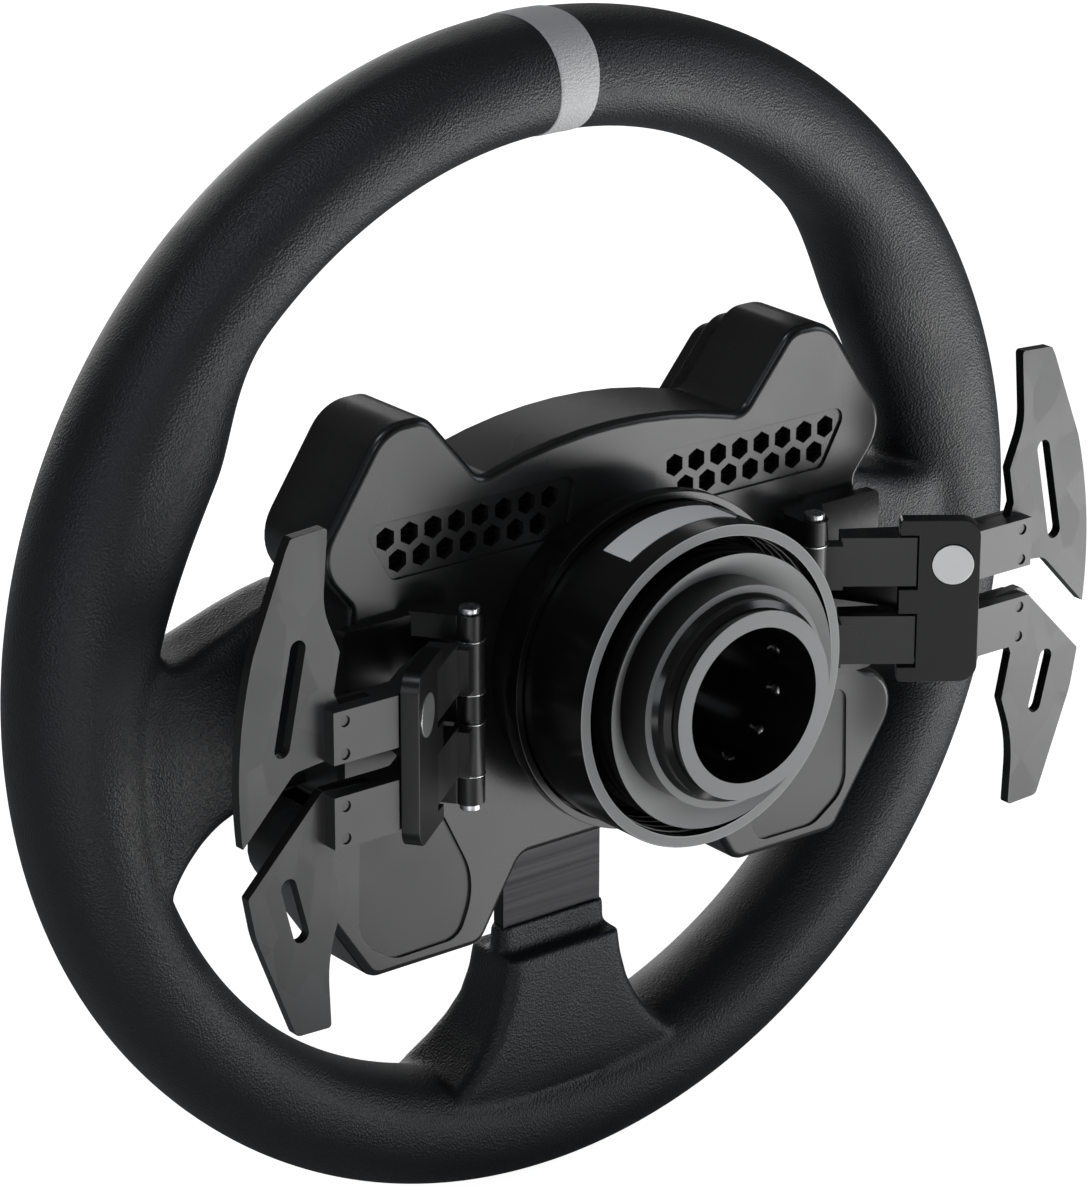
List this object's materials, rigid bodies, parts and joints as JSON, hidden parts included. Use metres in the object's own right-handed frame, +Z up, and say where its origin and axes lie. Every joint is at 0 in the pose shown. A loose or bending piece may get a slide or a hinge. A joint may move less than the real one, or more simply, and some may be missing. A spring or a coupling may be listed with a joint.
{
  "type": "racing wheel",
  "caption": "Round leather-covered racing wheel with a rear electronics housing, front controls, sprung paddle pairs and a sliding-collar quick release.",
  "frame": {"origin": "centre of the quick release mouth, on the axis that the wheel turns about", "axes": "+X to the driver's right, +Y along the axis out of the quick release mouth and away from the driver, +Z up towards the marker band"},
  "size_m": [0.33, 0.1115, 0.33],
  "materials": {
    "foam": "matt moulded foam",
    "rim_leather": "smooth fine-grain black leather",
    "band_leather": "light grey leather",
    "brushed_plate": "dark brushed metal",
    "housing_coat": "satin black coat",
    "mesh": "black mesh",
    "gloss_black": "glossy black anodising",
    "machined_metal": "glossy black anodising on turned metal",
    "steel": "bright steel",
    "ball_steel": "polished ball",
    "label": "blank white band",
    "contact_gold": "black insulator with gold pins",
    "board": "green solder mask",
    "lens": "smoked red lens",
    "black_steel": "black oxide screw",
    "button_plastic": "satin button cap",
    "control_metal": "knurled black anodising",
    "gimbal_metal": "plain metal",
    "module_metal": "satin black anodising",
    "disc_metal": "satin steel disc",
    "arm_metal": "satin dark grey anodising",
    "carbon": "forged carbon plate, satin"
  },
  "bodies": {
    "wheel": {"rim_foam": "foam", "rim_leather": "rim_leather", "marker_band": "band_leather", "spoke_leather_right": "rim_leather", "spoke_leather_left": "rim_leather", "spoke_leather_bottom": "rim_leather", "spoke_plate": "brushed_plate", "rear_housing": "housing_coat", "vent_mesh": "mesh", "hub_boss": "gloss_black", "hub_bolts": "steel", "release_body": "machined_metal", "collar_spring": "black_steel", "locking_balls": "ball_steel", "contact_block": "contact_gold", "circuit_board": "board", "front_panel": "housing_coat", "rev_light_lens": "lens", "housing_screws": "black_steel", "paddle_base_right": "module_metal", "paddle_base_left": "module_metal", "paddle_cover_right": "module_metal", "paddle_cover_left": "module_metal", "hinge_pins": "steel", "hinge_washers": "steel", "magnet_discs": "disc_metal"},
    "collar": {"release_collar": "gloss_black", "collar_label": "label"},
    "button_a_right_body": {"button_a_right": "button_plastic"},
    "button_b_right_body": {"button_b_right": "button_plastic"},
    "button_c_right_body": {"button_c_right": "button_plastic"},
    "button_d_right_body": {"button_d_right": "button_plastic"},
    "button_e_right_body": {"button_e_right": "button_plastic"},
    "button_a_left_body": {"button_a_left": "button_plastic"},
    "button_b_left_body": {"button_b_left": "button_plastic"},
    "button_c_left_body": {"button_c_left": "button_plastic"},
    "button_d_left_body": {"button_d_left": "button_plastic"},
    "button_e_left_body": {"button_e_left": "button_plastic"},
    "thumb_wheel_right_body": {"thumb_wheel_right": "control_metal"},
    "knob_right_body": {"knob_right": "control_metal"},
    "gimbal_right_body": {"stick_gimbal_right": "gimbal_metal"},
    "stick_right_body": {"stick_right": "control_metal"},
    "shift_paddle_right": {"shift_arm_right": "arm_metal", "shift_blade_right": "carbon", "shift_screws_right": "black_steel"},
    "clutch_paddle_right": {"clutch_arm_right": "arm_metal", "clutch_blade_right": "carbon", "clutch_screws_right": "black_steel"},
    "thumb_wheel_left_body": {"thumb_wheel_left": "control_metal"},
    "knob_left_body": {"knob_left": "control_metal"},
    "gimbal_left_body": {"stick_gimbal_left": "gimbal_metal"},
    "stick_left_body": {"stick_left": "control_metal"},
    "shift_paddle_left": {"shift_arm_left": "arm_metal", "shift_blade_left": "carbon", "shift_screws_left": "black_steel"},
    "clutch_paddle_left": {"clutch_arm_left": "arm_metal", "clutch_blade_left": "carbon", "clutch_screws_left": "black_steel"}
  },
  "joints": [
    {"name": "collar_slide", "type": "slide", "parent": "wheel", "child": "collar", "axis": [0, -1, 0], "range_m": [0, 0.005], "stiffness_N_per_m": 3000, "springref_m": -0.004, "deforming": ["collar_spring"]},
    {"name": "button_a_right_press", "type": "slide", "parent": "wheel", "child": "button_a_right_body", "axis": [0, 1, 0], "range_m": [0, 0.001], "stiffness_N_per_m": 600, "springref_m": -0.0005},
    {"name": "button_b_right_press", "type": "slide", "parent": "wheel", "child": "button_b_right_body", "axis": [0, 1, 0], "range_m": [0, 0.001], "stiffness_N_per_m": 600, "springref_m": -0.0005},
    {"name": "button_c_right_press", "type": "slide", "parent": "wheel", "child": "button_c_right_body", "axis": [0, 1, 0], "range_m": [0, 0.001], "stiffness_N_per_m": 600, "springref_m": -0.0005},
    {"name": "button_d_right_press", "type": "slide", "parent": "wheel", "child": "button_d_right_body", "axis": [0, 1, 0], "range_m": [0, 0.001], "stiffness_N_per_m": 600, "springref_m": -0.0005},
    {"name": "button_e_right_press", "type": "slide", "parent": "wheel", "child": "button_e_right_body", "axis": [0, 1, 0], "range_m": [0, 0.001], "stiffness_N_per_m": 600, "springref_m": -0.0005},
    {"name": "button_a_left_press", "type": "slide", "parent": "wheel", "child": "button_a_left_body", "axis": [0, 1, 0], "range_m": [0, 0.001], "stiffness_N_per_m": 600, "springref_m": -0.0005},
    {"name": "button_b_left_press", "type": "slide", "parent": "wheel", "child": "button_b_left_body", "axis": [0, 1, 0], "range_m": [0, 0.001], "stiffness_N_per_m": 600, "springref_m": -0.0005},
    {"name": "button_c_left_press", "type": "slide", "parent": "wheel", "child": "button_c_left_body", "axis": [0, 1, 0], "range_m": [0, 0.001], "stiffness_N_per_m": 600, "springref_m": -0.0005},
    {"name": "button_d_left_press", "type": "slide", "parent": "wheel", "child": "button_d_left_body", "axis": [0, 1, 0], "range_m": [0, 0.001], "stiffness_N_per_m": 600, "springref_m": -0.0005},
    {"name": "button_e_left_press", "type": "slide", "parent": "wheel", "child": "button_e_left_body", "axis": [0, 1, 0], "range_m": [0, 0.001], "stiffness_N_per_m": 600, "springref_m": -0.0005},
    {"name": "thumb_wheel_right_turn", "type": "hinge", "parent": "wheel", "child": "thumb_wheel_right_body", "pos_m": [0.056, -0.0921, -0.036], "axis": [0, 1, 0], "continuous": true},
    {"name": "knob_right_turn", "type": "hinge", "parent": "wheel", "child": "knob_right_body", "pos_m": [0.033, -0.0921, -0.039], "axis": [0, 1, 0], "range_deg": [-150, 150]},
    {"name": "stick_right_up_down", "type": "hinge", "parent": "wheel", "child": "gimbal_right_body", "pos_m": [0.06, -0.0811, 0.014], "axis": [1, 0, 0], "range_deg": [-12, 12], "stiffness_Nm_per_rad": 0.05},
    {"name": "stick_right_left_right", "type": "hinge", "parent": "gimbal_right_body", "child": "stick_right_body", "pos_m": [0.06, -0.0811, 0.014], "axis": [0, 0, 1], "range_deg": [-12, 12], "stiffness_Nm_per_rad": 0.05},
    {"name": "shift_paddle_right_pull", "type": "hinge", "parent": "wheel", "child": "shift_paddle_right", "pos_m": [0.0584, -0.0441, 0], "axis": [0, 0, -1], "range_deg": [0, 4], "stiffness_Nm_per_rad": 6, "springref_deg": -2.86},
    {"name": "clutch_paddle_right_pull", "type": "hinge", "parent": "wheel", "child": "clutch_paddle_right", "pos_m": [0.0584, -0.0441, 0], "axis": [0, 0, -1], "range_deg": [0, 14], "stiffness_Nm_per_rad": 1.2, "springref_deg": -6.88},
    {"name": "thumb_wheel_left_turn", "type": "hinge", "parent": "wheel", "child": "thumb_wheel_left_body", "pos_m": [-0.056, -0.0921, -0.036], "axis": [0, 1, 0], "continuous": true},
    {"name": "knob_left_turn", "type": "hinge", "parent": "wheel", "child": "knob_left_body", "pos_m": [-0.033, -0.0921, -0.039], "axis": [0, 1, 0], "range_deg": [-150, 150]},
    {"name": "stick_left_up_down", "type": "hinge", "parent": "wheel", "child": "gimbal_left_body", "pos_m": [-0.06, -0.0811, 0.014], "axis": [1, 0, 0], "range_deg": [-12, 12], "stiffness_Nm_per_rad": 0.05},
    {"name": "stick_left_left_right", "type": "hinge", "parent": "gimbal_left_body", "child": "stick_left_body", "pos_m": [-0.06, -0.0811, 0.014], "axis": [0, 0, 1], "range_deg": [-12, 12], "stiffness_Nm_per_rad": 0.05},
    {"name": "shift_paddle_left_pull", "type": "hinge", "parent": "wheel", "child": "shift_paddle_left", "pos_m": [-0.0584, -0.0441, 0], "axis": [0, 0, 1], "range_deg": [0, 4], "stiffness_Nm_per_rad": 6, "springref_deg": -2.86},
    {"name": "clutch_paddle_left_pull", "type": "hinge", "parent": "wheel", "child": "clutch_paddle_left", "pos_m": [-0.0584, -0.0441, 0], "axis": [0, 0, 1], "range_deg": [0, 14], "stiffness_Nm_per_rad": 1.2, "springref_deg": -6.88}
  ]
}
